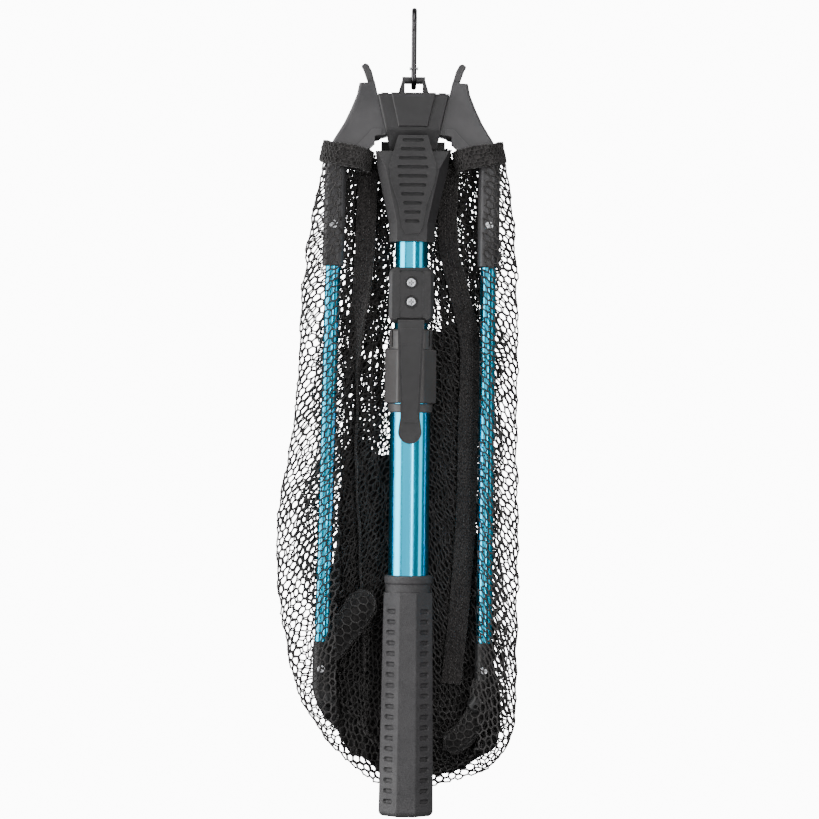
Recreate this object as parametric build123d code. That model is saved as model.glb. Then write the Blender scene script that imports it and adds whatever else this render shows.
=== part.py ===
from build123d import *
import os
from math import atan2, cos, degrees, radians, sin, sqrt

# Folding landing net, stored closed and hanging by its carabiner, in millimetres.
# +Z is up. The origin is the inside top of the carabiner, where a hook or finger holds it.
# The handle points down, the thumb slider and the belt clip face -Y, and the net is gathered
# behind the handle. The handle's axis is the line x = 0, y = 0.

# ---- driving dimensions -------------------------------------------------------------------
WIRE_R = 1.9                 # carabiner wire radius
CARABINER_TOP_R = 10.0       # inside radius of the carabiner's top bow
CARABINER_FOOT_R = 6.1       # inside radius of its foot bow
LOOP_BAR_R = 2.6             # round bar of the hanging tab
LOOP_BAR_Z = -47.1           # its centre, which the carabiner swings about

HEAD_TOP_Z = -57.4           # top of the head block
HEAD_FOOT_Z = -96.6          # foot of the head block
HEAD_TOP_HALF = 24.9         # half width at the top
HEAD_FOOT_HALF = 16.0        # half width at the foot
HEAD_DEPTH = 14.5            # half depth
CORE_HALF = LOOP_BAR_R       # half thickness of the middle plate that carries the tab

HINGE_Z = -64.5              # height of the arm hinges on the block's slanted sides
HINGE_PIN_R = 3.0
HINGE_GAP = 0.15             # between a wing's flat fin and the block's flat side
RUNNING_GAP = 0.05           # radial clearance of a pin in its bore

UPPER_TUBE_R = 11.5
UPPER_TUBE_WALL = 1.2
UPPER_TUBE_END_Z = -478.0
LOWER_TUBE_R = 14.2
LOWER_TUBE_WALL = 1.3
LOWER_TUBE_TOP_Z = -262.0
LOWER_TUBE_END_Z = -552.0
SLIDE_GAP = 0.3              # between parts that slide on a tube

SLIDER_TOP_Z = -97.3
SLIDER_FOOT_Z = -160.3
SLIDER_TRAVEL = 4.5          # up, over the tips of the horns

CLIP_TOP_Z = -178.5
CLIP_FOOT_Z = -217.0
CLIP_HALF = 15.6
LOCK_TOP_Z = -221.2
NUT_TOP_Z = -235.3
NUT_FOOT_Z = -272.9
NUT_CORNER_R = 18.4
RING_FOOT_Z = -279.3

GRIP_TOP_Z = -393.0
GRIP_FOOT_Z = -561.0
GRIP_TOP_HALF = 16.8
GRIP_FOOT_HALF = 19.1
GRIP_RIDGES = 19
GRIP_RIDGE_PITCH = 7.35
DIMPLE_DEPTH = 1.4           # each finger dimple on the grip's corner faces, with sloping walls
DIMPLE_TAPER = 40

ARM_X = 53.6                 # centre of an arm tube at its socket
ARM_R = 5.5
ARM_WALL = 0.9
SOCKET_TOP_Z = -97.0
SOCKET_FOOT_Z = -177.5
ARM_END_Z = -446.0
ARM_SCREW_Z = -148.5
TIP_SCREW_Z = -459.0
ARM_LEAN = {"left": 1.0, "right": 0.0}   # degrees outwards; the gathered net pushes one arm out

NET_FRONT_Y = -12.2          # outer face of the net's layer in front of the arms
NET_SKIN = 1.6               # thickness of that layer
NET_BACK_Y = 9.6             # nearest face of the gathered bag behind the arms
NET_DEEP_Y = 20.4            # nearest face of the bag behind the handle
NET_BUNCH = 7.0              # thickness of the gathered bag

HEAD_SLANT = atan2(HEAD_TOP_HALF - HEAD_FOOT_HALF, HEAD_TOP_Z - HEAD_FOOT_Z)


# ---- small helpers ------------------------------------------------------------------------
def front_prism(outline, y_low, y_high):
    """A prism whose outline, in x and z, is seen from the front."""
    face = Face(Wire.make_polygon([(x, y_low, z) for x, z in outline], close=True))
    return Solid.extrude(face, Vector(0, y_high - y_low, 0))


def side_prism(outline, x_low, x_high):
    """A prism whose outline, in y and z, is seen from the side."""
    face = Face(Wire.make_polygon([(x_low, y, z) for y, z in outline], close=True))
    return Solid.extrude(face, Vector(x_high - x_low, 0, 0))


def block(x_low, x_high, y_low, y_high, z_low, z_high):
    """A box between two corners."""
    size = (x_high - x_low, y_high - y_low, z_high - z_low)
    centre = ((x_low + x_high) / 2, (y_low + y_high) / 2, (z_low + z_high) / 2)
    return Pos(*centre) * Box(*size)


def rod(start, end, radius):
    """A round bar between two points."""
    start, end = Vector(*start), Vector(*end)
    plane = Plane(origin=start, z_dir=end - start)
    return Solid.make_cylinder(radius, (end - start).length, plane)


def tube(z_low, z_high, outer, inner):
    """A tube on the handle's axis."""
    return rod((0, 0, z_low), (0, 0, z_high), outer) - rod((0, 0, z_low - 1), (0, 0, z_high + 1), inner)


def mirrored(shape):
    """The same shape on the other side of the handle."""
    return shape.mirror(Plane.YZ)


def sided(shape, side):
    """A left-hand shape, mirrored for the right."""
    return mirrored(shape) if side == "right" else shape


def cross_screw(head_r, head_h, shank_r, length):
    """A pan-head screw with a cross recess, seated at its origin and driven towards -Z."""
    head = Pos(0, 0, head_h / 2) * Cylinder(head_r, head_h)
    head = fillet(head.edges().sort_by(Axis.Z)[-1:], head_h * 0.6)
    arm = head_r * 1.15
    recess = Pos(0, 0, head_h) * (Box(arm, head_r * 0.28, head_h) + Box(head_r * 0.28, arm, head_h))
    shank = Pos(0, 0, -length / 2) * Cylinder(shank_r, length)
    return (head - recess) + shank


def facing_front(shape, x, y, z):
    """A +Z shape turned to face -Y, at that place."""
    return Pos(x, y, z) * Rot(90, 0, 0) * shape


def facing_back(shape, x, y, z):
    """A +Z shape turned to face +Y, at that place."""
    return Pos(x, y, z) * Rot(-90, 0, 0) * shape


# ---- carabiner: a bent wire in the y-z plane, with a sprung gate facing -Y -----------------
TOP_BOW = CARABINER_TOP_R + WIRE_R
FOOT_BOW = CARABINER_FOOT_R + WIRE_R
TOP_CENTRE_Z = -CARABINER_TOP_R
FOOT_CENTRE_Z = LOOP_BAR_Z - LOOP_BAR_R - SLIDE_GAP + CARABINER_FOOT_R
BOW_ANGLE = atan2(TOP_BOW - FOOT_BOW, TOP_CENTRE_Z - FOOT_CENTRE_Z)
TOP_TANGENT = (TOP_BOW * cos(BOW_ANGLE), TOP_CENTRE_Z + TOP_BOW * sin(BOW_ANGLE))
FOOT_TANGENT = (FOOT_BOW * cos(BOW_ANGLE), FOOT_CENTRE_Z + FOOT_BOW * sin(BOW_ANGLE))
NOSE_Z = -10.4
GATE_PIN_Z = -39.6
GATE_PIN_R = 0.8
TANG_HALF = 0.9


def gate_line(z, reach=0.0):
    """The point of the carabiner's front side at that height."""
    share = (z - FOOT_TANGENT[1]) / (TOP_TANGENT[1] - FOOT_TANGENT[1])
    y = FOOT_TANGENT[0] + share * (TOP_TANGENT[0] - FOOT_TANGENT[0])
    return (reach, -y, z)


def make_carabiner():
    top_y, top_z = TOP_TANGENT
    foot_y, foot_z = FOOT_TANGENT
    path = Wire([
        Edge.make_line(gate_line(NOSE_Z), (0, -top_y, top_z)),
        Edge.make_three_point_arc((0, -top_y, top_z), (0, 0, TOP_CENTRE_Z + TOP_BOW), (0, top_y, top_z)),
        Edge.make_line((0, top_y, top_z), (0, foot_y, foot_z)),
        Edge.make_three_point_arc((0, foot_y, foot_z), (0, 0, FOOT_CENTRE_Z - FOOT_BOW), (0, -foot_y, foot_z)),
        Edge.make_line((0, -foot_y, foot_z), gate_line(GATE_PIN_Z + WIRE_R * 0.8)),
    ])
    start = Plane(origin=path @ 0, z_dir=path % 0)
    body = sweep(start * Circle(WIRE_R), path=path)
    # The wire is flattened to a tang that the gate's fork turns on.
    y_pin = gate_line(GATE_PIN_Z)[1]
    shoulder = GATE_PIN_Z - WIRE_R - 0.5
    for side in (-1, 1):
        x_low, x_high = sorted((side * TANG_HALF, side * 4))
        body -= block(x_low, x_high, y_pin - 4, y_pin + 4, shoulder, GATE_PIN_Z + 6)
    body -= rod((-5, y_pin, GATE_PIN_Z), (5, y_pin, GATE_PIN_Z), GATE_PIN_R)
    # The gate latches round a small keyed nose.
    y_nose = gate_line(NOSE_Z)[1]
    body += rod(gate_line(NOSE_Z + 0.5), gate_line(NOSE_Z - 2.2), 0.7)
    body += rod((-1.1, y_nose + 0.25, NOSE_Z - 2.2), (1.1, y_nose + 0.25, NOSE_Z - 2.2), 0.7)
    return body


def make_gate():
    foot = gate_line(GATE_PIN_Z)
    gate = rod(foot, gate_line(NOSE_Z - 0.5), WIRE_R)
    gate += rod((-WIRE_R, foot[1], foot[2]), (WIRE_R, foot[1], foot[2]), WIRE_R)
    slot_half = TANG_HALF + 0.25
    gate -= block(-slot_half, slot_half, foot[1] - 4, foot[1] + 4, foot[2] - 4, foot[2] + 3.2)
    gate -= rod((-5, foot[1], foot[2]), (5, foot[1], foot[2]), GATE_PIN_R + RUNNING_GAP)
    nose_y = gate_line(NOSE_Z)[1]
    gate -= block(-1.5, 1.5, nose_y - 4, nose_y + 4, NOSE_Z - 3.4, NOSE_Z)
    gate -= block(-4, 4, nose_y - 4, nose_y, NOSE_Z - 1.2, NOSE_Z)
    return gate


def make_gate_pin():
    y_pin = gate_line(GATE_PIN_Z)[1]
    pin = rod((-3.1, y_pin, GATE_PIN_Z), (3.1, y_pin, GATE_PIN_Z), GATE_PIN_R)
    for side in (-1, 1):
        pin += rod((side * 2.25, y_pin, GATE_PIN_Z), (side * 3.1, y_pin, GATE_PIN_Z), GATE_PIN_R * 1.5)
    return pin


# ---- head: front and rear covers on a middle plate with the hanging tab -------------------
HEAD_OUTLINE = [(-HEAD_TOP_HALF, HEAD_TOP_Z), (HEAD_TOP_HALF, HEAD_TOP_Z),
                (HEAD_FOOT_HALF, HEAD_FOOT_Z), (-HEAD_FOOT_HALF, HEAD_FOOT_Z)]
TAB_TOP_HALF = 8.1
TAB_FOOT_HALF = 11.4
TAB_HOLE_HALF = 6.2
NECK_R = 14.0
NECK_FOOT_Z = -118.0
COVER_FOOT_Y = -9.6           # how far forward the front cover's foot reaches, under the slider
PANEL_FOOT_Z = -80.5
RAIL_X = (16.0, 22.4)
RAIL_Y = (7.5, 11.0)
RAIL_TOP_Z = -89.5
RAIL_FOOT_Z = -108.0


def hinge_axis_point(out):
    """A point on the left hinge's axis, that far out from the block's side face."""
    face_x = HEAD_TOP_HALF - (HEAD_TOP_Z - HINGE_Z) * sin(HEAD_SLANT) / cos(HEAD_SLANT)
    return (-face_x - out * cos(HEAD_SLANT), 0, HINGE_Z - out * sin(HEAD_SLANT))


def make_head_core():
    core = front_prism(HEAD_OUTLINE, -CORE_HALF, CORE_HALF)
    tab_foot = HEAD_TOP_Z - 1
    tab = front_prism([(-TAB_TOP_HALF, LOOP_BAR_Z), (TAB_TOP_HALF, LOOP_BAR_Z),
                       (TAB_FOOT_HALF, tab_foot), (-TAB_FOOT_HALF, tab_foot)], -CORE_HALF, CORE_HALF)
    hole_top = LOOP_BAR_Z
    hole = front_prism([(-TAB_HOLE_HALF, hole_top), (TAB_HOLE_HALF, hole_top),
                        (TAB_HOLE_HALF, HEAD_TOP_Z + 1.2), (-TAB_HOLE_HALF, HEAD_TOP_Z + 1.2)], -9, 9)
    bar = rod((-TAB_TOP_HALF, 0, LOOP_BAR_Z), (TAB_TOP_HALF, 0, LOOP_BAR_Z), LOOP_BAR_R)
    core = core + (tab - hole) + bar
    neck = rod((0, 0, NECK_FOOT_Z), (0, 0, HEAD_FOOT_Z), NECK_R)
    core += neck
    core -= rod((0, 0, NECK_FOOT_Z - 1), (0, 0, HEAD_FOOT_Z - 3.4), UPPER_TUBE_R)
    for side in (1, -1):
        start = hinge_axis_point(-14)
        end = hinge_axis_point(1)
        core -= rod((side * start[0], 0, start[2]), (side * end[0], 0, end[2]), HINGE_PIN_R)
    return core


def cover_blank(y_near, y_far, y_foot):
    """Half of the head block; its outer face leans in towards the foot."""
    shape = front_prism(HEAD_OUTLINE, min(y_near, y_far), max(y_near, y_far))
    lean = [(y_near, HEAD_TOP_Z), (y_far, HEAD_TOP_Z), (y_far, PANEL_FOOT_Z - 1.5), (y_foot, HEAD_FOOT_Z),
            (y_near, HEAD_FOOT_Z)]
    return shape & side_prism(lean, -40, 40)


def hinge_socket(shape):
    """The two blind holes that the hinge bolts screw into."""
    for side in (1, -1):
        start, end = hinge_axis_point(-14), hinge_axis_point(1)
        shape -= rod((side * start[0], 0, start[2]), (side * end[0], 0, end[2]), HINGE_PIN_R)
    return shape


def make_front_cover():
    cover = cover_blank(-CORE_HALF, -HEAD_DEPTH, COVER_FOOT_Y)
    cover = chamfer(cover.faces().sort_by(Axis.Y)[0].edges(), 0.9)
    panel = front_prism([(-15.6, HEAD_TOP_Z + 0.7), (15.6, HEAD_TOP_Z + 0.7),
                         (10.3, PANEL_FOOT_Z), (-10.3, PANEL_FOOT_Z)], -HEAD_DEPTH - 1.4, -HEAD_DEPTH + 1.5)
    panel = chamfer(panel.faces().sort_by(Axis.Y)[0].edges(), 0.7)
    cover += panel
    for side in (-1, 1):
        lip_low, lip_high = sorted((side * 17.5, side * 22.5))
        cover += block(lip_low, lip_high, -HEAD_DEPTH + 1.5, -CORE_HALF, HEAD_TOP_Z - 0.5, HEAD_TOP_Z + 0.7)
    return hinge_socket(cover)


REAR_SCREWS = [(-14.0, -64.0), (14.0, -64.0), (-9.5, -88.0), (9.5, -88.0)]


def make_rear_cover():
    cover = cover_blank(CORE_HALF, HEAD_DEPTH, 12.5)
    cover = chamfer(cover.faces().sort_by(Axis.Y)[-1].edges(), 0.9)
    for side in (-1, 1):
        low, high = sorted((side * 10.0, side * RAIL_X[1]))
        cover += block(low, high, RAIL_Y[0], RAIL_Y[1], HEAD_FOOT_Z + 1.2, RAIL_TOP_Z)
        low, high = sorted((side * RAIL_X[0], side * RAIL_X[1]))
        cover += block(low, high, RAIL_Y[0], RAIL_Y[1], RAIL_FOOT_Z, RAIL_TOP_Z)
    recess = front_prism([(-8.5, -62.5), (8.5, -62.5), (6.0, -82.0), (-6.0, -82.0)], HEAD_DEPTH - 0.8, 20)
    cover -= recess
    for x, z in REAR_SCREWS:
        cover -= rod((x, 9.6, z), (x, 20, z), 3.2)
        cover -= rod((x, 4.6, z), (x, 20, z), 1.4)
    return hinge_socket(cover)


def make_head_screws():
    screw = cross_screw(3.0, 1.8, 1.4, 5.0)
    return Compound([facing_back(screw, x, 9.6, z).solid() for x, z in REAR_SCREWS])


def make_hinge_bolt(side):
    start = hinge_axis_point(-14)
    seat = hinge_axis_point(HINGE_GAP + WING_FIN + 0.3)
    end = hinge_axis_point(HINGE_GAP + WING_FIN + 2.9)
    bolt = rod(start, seat, HINGE_PIN_R) + rod(seat, end, 5.0)
    socket_end = hinge_axis_point(HINGE_GAP + WING_FIN + 3.0)
    socket_start = hinge_axis_point(HINGE_GAP + WING_FIN + 1.2)
    hexagon = Plane(origin=socket_start, z_dir=Vector(*socket_end) - Vector(*socket_start))
    bolt -= hexagon * extrude(RegularPolygon(2.3, 6), 4)
    return sided(bolt, side)


def make_upper_tube():
    return tube(UPPER_TUBE_END_Z, HEAD_FOOT_Z - 3.5, UPPER_TUBE_R, UPPER_TUBE_R - UPPER_TUBE_WALL)


def make_tube_plug():
    plug = rod((0, 0, UPPER_TUBE_END_Z - 12), (0, 0, UPPER_TUBE_END_Z), LOWER_TUBE_R - LOWER_TUBE_WALL - SLIDE_GAP)
    plug = chamfer(plug.edges().sort_by(Axis.Z)[:1], 1.0)
    plug += rod((0, 0, UPPER_TUBE_END_Z), (0, 0, UPPER_TUBE_END_Z + 14), UPPER_TUBE_R - UPPER_TUBE_WALL)
    return plug - rod((0, 0, UPPER_TUBE_END_Z - 13), (0, 0, UPPER_TUBE_END_Z + 15), 6)


# ---- lock slider: a ribbed thumb piece that traps the horns of the open arms ---------------
PANEL_EDGE = [(-86.6, 10.3), (-108.0, 16.4), (-119.0, 15.0), (-134.0, 9.9), (-150.5, 7.0), (-154.8, 4.6)]
RIBS = 10
RIB_TOP_Z = -90.0
RIB_PITCH = 6.25
RIB_DEPTH = 2.2


def slider_section(z, front_half, front_y, half, side_y, back_y, back_cut):
    """One eight-sided section of the slider."""
    points = [(-front_half, front_y), (front_half, front_y), (half, side_y), (half, back_y - back_cut),
              (half - back_cut, back_y), (back_cut - half, back_y), (-half, back_y - back_cut), (-half, side_y)]
    return Face(Wire.make_polygon([(x, y, z) for x, y in points], close=True))


def panel_half(z):
    """Half width of the raised thumb panel at that height."""
    for (z_high, half_high), (z_low, half_low) in zip(PANEL_EDGE, PANEL_EDGE[1:]):
        if z_low <= z <= z_high:
            return half_low + (half_high - half_low) * (z - z_low) / (z_high - z_low)
    return PANEL_EDGE[-1][1]


def make_slider():
    sections = [slider_section(SLIDER_TOP_Z, 25.0, -13.0, 26.2, -11.5, 16.0, 5.0),
                slider_section(-109.5, 18.6, -18.0, 24.4, -10.0, 16.0, 5.0),
                slider_section(-147.0, 10.6, -15.9, 16.2, -9.0, 14.8, 5.0),
                slider_section(SLIDER_FOOT_Z, 10.2, -15.2, 15.8, -9.0, 14.4, 5.0)]
    slider = loft(sections, ruled=True)
    outline = [(half, z) for z, half in PANEL_EDGE] + [(-half, z) for z, half in reversed(PANEL_EDGE)]
    band = [(-18.2, -86.6), (-19.3, -109.5), (-17.0, -147.0), (-16.5, -156.0), (-12.5, -156.0),
            (-12.5, -109.5), (-15.3, -99.0), (-15.3, -86.6)]
    panel = front_prism(outline, -25, 0) & side_prism(band, -30, 30)
    slider += panel
    for index in range(RIBS):
        z = RIB_TOP_Z - RIB_PITCH * index
        slot = extrude(SlotOverall(1.33 * panel_half(z), 2.5), 4)
        depth_y = -18.2 - 0.048 * (-86.6 - z) if z > -109.5 else -19.3 + 0.0613 * (-109.5 - z)
        slider -= facing_front(slot, 0, depth_y + RIB_DEPTH, z)
    neck_foot = NECK_FOOT_Z - SLIDER_TRAVEL - 2.5
    slider -= rod((0, 0, neck_foot), (0, 0, SLIDER_TOP_Z + 1), NECK_R + 0.4)
    slider -= rod((0, 0, SLIDER_FOOT_Z - 1), (0, 0, SLIDER_TOP_Z + 1), UPPER_TUBE_R + SLIDE_GAP + 0.1)
    slider -= block(-17.5, 17.5, -11.6, 13.3, SLIDER_TOP_Z - 5.0, SLIDER_TOP_Z + 1)
    for side in (-1, 1):
        low, high = sorted((side * 14.5, side * 24.3))
        slider -= block(low, high, -7.5, 6.9, SLIDER_TOP_Z - 7.5, SLIDER_TOP_Z + 1)
        low, high = sorted((side * (RAIL_X[0] - 0.4), side * (RAIL_X[1] + 0.4)))
        slider -= block(low, high, RAIL_Y[0] - 0.4, RAIL_Y[1] + 0.4,
                        RAIL_FOOT_Z - SLIDER_TRAVEL - 1, SLIDER_TOP_Z + 1)
    return slider


# ---- arms: a moulded wing with its horn and socket, an aluminium tube and a plastic tip ----
WING_FIN = 4.5
WING_HALF = 11.0
WING_SWEEP_R = 24.2           # the wing's lower corner stays within this of the hinge's axis
WING_CLEAR_X = -26.8          # further out than this it passes beside the slider
WING_STEP = 16.4             # top of the wing's body, measured up the block's side from the hinge
HORN_HALF = 5.5
SOCKET_X = 7.6
SOCKET_Y = 8.4


def fin_point(along, out):
    """A point of the wing, measured up the block's slanted side from the hinge and out from it."""
    x, _, z = hinge_axis_point(out)
    return (x - along * sin(HEAD_SLANT), z + along * cos(HEAD_SLANT))


def make_wing(side):
    near = HINGE_GAP
    body = front_prism([fin_point(WING_STEP, near), fin_point(WING_STEP, near + WING_FIN), (-37.9, -49.8),
                        (-39.6, -58.1), (-43.6, -68.0), (-48.4, -78.0), (-55.0, -88.6), (-60.4, -98.0),
                        (-47.0, -101.5), (-33.0, -98.6), (-30.2, -94.6), (-22.6, -87.6),
                        fin_point(-22.6, near)], -WING_HALF, WING_HALF)
    front_and_back = [edge for face in (body.faces().sort_by(Axis.Y)[0], body.faces().sort_by(Axis.Y)[-1])
                      for edge in face.edges() if edge.center().X < -36 and edge.center().Z > -96]
    body = fillet(front_and_back, 2.6)
    lower_disc = rod(hinge_axis_point(-2), hinge_axis_point(60), WING_SWEEP_R)
    low_corner = block(-40, 0, -20, 20, -110, HINGE_Z) - block(-40, WING_CLEAR_X, -30, 30, -120, 0)
    body -= low_corner - lower_disc
    plate = front_prism([(-28.6, -82.0), (-31.3, -85.5), (-47.6, -102.0), (-33.5, -97.9), (-22.8, -88.4),
                         (-22.2, -82.0)], -WING_HALF - 0.9, 0)
    body += plate & (lower_disc + block(-60, WING_CLEAR_X, -20, 0, -110, -60))
    horn_foot = WING_STEP - 4.0
    horn = front_prism([fin_point(horn_foot, near), fin_point(horn_foot, near + WING_FIN),
                        fin_point(26.5, near + WING_FIN + 1.7), fin_point(29.3, near + WING_FIN + 2.6),
                        fin_point(30.6, near + 4.0), fin_point(29.2, near + 1.9), fin_point(24.0, near + 0.5)],
                       -HORN_HALF, HORN_HALF)
    horn_edges = [edge for edge in horn.edges() if edge.center().Z > -48]
    body += fillet(horn_edges, 0.9)
    socket = block(-SOCKET_X, SOCKET_X, -SOCKET_Y, SOCKET_Y, SOCKET_FOOT_Z, -92.0)
    socket = fillet(socket.edges().filter_by(Axis.Z), 5.5)
    socket = chamfer(socket.edges().sort_by(Axis.Z)[:8], 0.8)
    body += leaned(socket, side)
    body -= leaned(rod((0, 0, SOCKET_FOOT_Z - 1), (0, 0, -112.0), ARM_R), side)
    body -= leaned(rod((0, 0, ARM_SCREW_Z), (0, -20, ARM_SCREW_Z), 1.5), side)
    body -= rod(hinge_axis_point(-3), hinge_axis_point(60), HINGE_PIN_R + RUNNING_GAP)
    body -= rod(hinge_axis_point(HINGE_GAP + WING_FIN), hinge_axis_point(60), 5.6)
    return sided(body, side)


def leaned(shape, side):
    """A shape made on the z axis, moved to the left arm's place and leant outwards."""
    pivot_z = SOCKET_TOP_Z
    turned = Pos(0, 0, pivot_z) * Rot(0, ARM_LEAN[side], 0) * Pos(0, 0, -pivot_z) * shape
    return Pos(-ARM_X, 0, 0) * turned


def make_arm_tube(side):
    outer = rod((0, 0, ARM_END_Z), (0, 0, -112.0), ARM_R)
    inner = rod((0, 0, ARM_END_Z - 1), (0, 0, -111.0), ARM_R - ARM_WALL)
    hole = rod((0, 0, ARM_SCREW_Z), (0, -20, ARM_SCREW_Z), 1.5)
    return sided(leaned(outer - inner - hole, side), side)


def make_arm_screw(side):
    screw = cross_screw(3.1, 1.5, 1.5, SOCKET_Y - 1.0)
    return sided(leaned(facing_front(screw, 0, -SOCKET_Y, ARM_SCREW_Z), side), side)


ELBOW_R = 6.4
ELBOW_BEND = 26.0


def make_tip_elbow(side):
    bend = radians(48)
    bend_z = ARM_END_Z - 22
    mid = (ELBOW_BEND * (1 - cos(bend / 2)), 0, bend_z - ELBOW_BEND * sin(bend / 2))
    end = (ELBOW_BEND * (1 - cos(bend)), 0, bend_z - ELBOW_BEND * sin(bend))
    path = Wire([Edge.make_line((0, 0, ARM_END_Z + 6), (0, 0, bend_z)),
                 Edge.make_three_point_arc((0, 0, bend_z), mid, end)])
    elbow = sweep(Plane(origin=path @ 0, z_dir=path % 0) * Circle(ELBOW_R), path=path)
    elbow = fillet(elbow.edges().sort_by(Axis.Z)[:1], 2.5)
    elbow -= rod((0, 0, ARM_END_Z), (0, 0, ARM_END_Z + 7), ARM_R)
    elbow -= rod((0, 0, TIP_SCREW_Z), (0, -20, TIP_SCREW_Z), 1.4)
    elbow -= rod((end[0] - 3, -20, end[2] + 3), (end[0] - 3, 20, end[2] + 3), 1.6)
    return sided(leaned(elbow, side), side)


def make_tip_screw(side):
    screw = cross_screw(2.9, 1.4, 1.4, ELBOW_R - 0.6)
    return sided(leaned(facing_front(screw, 0, -ELBOW_R, TIP_SCREW_Z), side), side)


# ---- belt clip on the upper tube -----------------------------------------------------------
CLIP_FRONT_Y = -19.6
CLIP_FLOOR_Y = -17.6
CLIP_PLATE = 1.6
CLIP_CHANNEL_HALF = 8.2
CLIP_SCREWS_Z = (-189.2, -202.5)
CLIP_WELL_R = 4.9             # round well in the plate that each screw head sits in
TONGUE_PIVOT = (-19.2, -216.2)
TONGUE_THICK = 2.8


def make_clip_base():
    base = block(-CLIP_HALF, CLIP_HALF, CLIP_FRONT_Y, 14.6, CLIP_FOOT_Z, CLIP_TOP_Z)
    base = fillet(base.edges().filter_by(Axis.Y), 5.0)
    base = chamfer(base.faces().sort_by(Axis.Y)[0].edges(), 2.2)
    base = chamfer(base.faces().sort_by(Axis.Y)[-1].edges(), 2.6)
    base -= tube_hole(UPPER_TUBE_R)
    channel = front_prism([(-CLIP_CHANNEL_HALF, CLIP_TOP_Z - 2.2), (CLIP_CHANNEL_HALF, CLIP_TOP_Z - 2.2),
                           (CLIP_CHANNEL_HALF, CLIP_FOOT_Z - 1), (-CLIP_CHANNEL_HALF, CLIP_FOOT_Z - 1)],
                          CLIP_FRONT_Y - 1, CLIP_FLOOR_Y)
    base -= channel
    base -= block(-10.0, 10.0, -30, -15.6, CLIP_FOOT_Z - 1, CLIP_FOOT_Z + 3.4)
    for z in CLIP_SCREWS_Z:
        base -= rod((0, -25, z), (0, -12.6, z), 1.6)
    return base


def tube_hole(radius):
    """A hole of that radius down the whole handle."""
    return rod((0, 0, GRIP_FOOT_Z), (0, 0, HEAD_FOOT_Z), radius)


def make_clip_plate():
    half = CLIP_CHANNEL_HALF - 0.2
    plate = block(-half, half, CLIP_FLOOR_Y - CLIP_PLATE, CLIP_FLOOR_Y, CLIP_FOOT_Z + 3.7, CLIP_TOP_Z - 2.6)
    plate = fillet(plate.edges().filter_by(Axis.Y), 2.2)
    for z in CLIP_SCREWS_Z:
        plate -= rod((0, -25, z), (0, -12, z), CLIP_WELL_R)
    return plate


def make_clip_screws():
    screw = cross_screw(3.2, 1.6, 1.6, 4.6)
    return Compound([facing_front(screw, 0, CLIP_FLOOR_Y, z).solid() for z in CLIP_SCREWS_Z])


def make_belt_clip():
    pivot_y, pivot_z = TONGUE_PIVOT
    strip = front_prism([(-9.2, pivot_z + 2), (9.2, pivot_z + 2), (9.0, -228.0), (6.8, -274.0), (6.8, -283.0),
                         (7.8, -289.0), (7.8, -293.0), (-7.8, -293.0), (-7.8, -289.0), (-6.8, -283.0),
                         (-6.8, -274.0), (-9.0, -228.0)], -40, 0)
    strip += rod((0, -40, -292.8), (0, 0, -292.8), 8.2)
    near = [(pivot_y - 1.4, pivot_z), (-22.6, -232.0), (-23.4, -250.0), (-23.6, -270.0), (-23.2, -284.0),
            (-24.0, -293.0), (-25.2, -302.0)]
    far = [(pivot_y + 1.4, pivot_z), (-19.8, -232.0), (-20.6, -250.0), (-20.8, -270.0), (-20.2, -284.0),
           (-20.9, -293.0), (-23.2, -302.0)]
    clip = strip & side_prism(near + far[::-1], -20, 20)
    # A raised centre runs down the tongue and round its tip, inside a lower rim.
    ridge = front_prism([(-7.4, -221.0), (7.4, -221.0), (5.2, -274.0), (5.2, -286.0), (-5.2, -286.0),
                         (-5.2, -274.0)], -40, 0)
    crest = [(y - 0.9, z) for y, z in near]
    clip += ridge & side_prism(crest + near[::-1], -20, 20)
    clip += rod((-9.2, pivot_y, pivot_z), (9.2, pivot_y, pivot_z), 1.4)
    return clip


# ---- telescope lock and lower handle -------------------------------------------------------
def make_lock_collet():
    collet = rod((0, 0, NUT_TOP_Z + SLIDE_GAP), (0, 0, LOCK_TOP_Z), 15.0)
    collet = chamfer(collet.edges().sort_by(Axis.Z)[-1:], 1.2)
    collet += rod((0, 0, LOWER_TUBE_TOP_Z), (0, 0, NUT_TOP_Z + SLIDE_GAP), 13.8)
    for index in range(6):
        notch = Rot(0, 0, 30 + 60 * index) * block(13.9, 16, -0.8, 0.8, NUT_TOP_Z + 1.5, LOCK_TOP_Z + 1)
        collet -= notch
    return collet - tube_hole(UPPER_TUBE_R + SLIDE_GAP)


NUT_GROOVES = 5


def make_lock_nut():
    nut = Pos(0, 0, NUT_FOOT_Z) * extrude(RegularPolygon(NUT_CORNER_R, 6), NUT_TOP_Z - NUT_FOOT_Z)
    nut = fillet(nut.edges().filter_by(Axis.Z), 2.4)
    nut = chamfer(nut.faces().filter_by(Axis.Z).edges(), 0.8)
    flat_y = NUT_CORNER_R * cos(radians(30))
    for turn in range(0, 360, 120):
        for index in range(NUT_GROOVES):
            x = (index - (NUT_GROOVES - 1) / 2) * 3.0
            groove = rod((x, -flat_y - 0.35, NUT_FOOT_Z - 1), (x, -flat_y - 0.35, NUT_TOP_Z + 1), 0.95)
            nut -= Rot(0, 0, turn) * groove
    return nut - tube_hole(LOWER_TUBE_R + SLIDE_GAP)


def make_lock_ring():
    ring = tube(RING_FOOT_Z, NUT_FOOT_Z - SLIDE_GAP, 15.6, LOWER_TUBE_R)
    return chamfer(ring.edges().filter_by(GeomType.CIRCLE).sort_by(SortBy.RADIUS)[-2:], 0.7)


def make_lower_tube():
    return tube(LOWER_TUBE_END_Z, LOWER_TUBE_TOP_Z, LOWER_TUBE_R, LOWER_TUBE_R - LOWER_TUBE_WALL)


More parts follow.
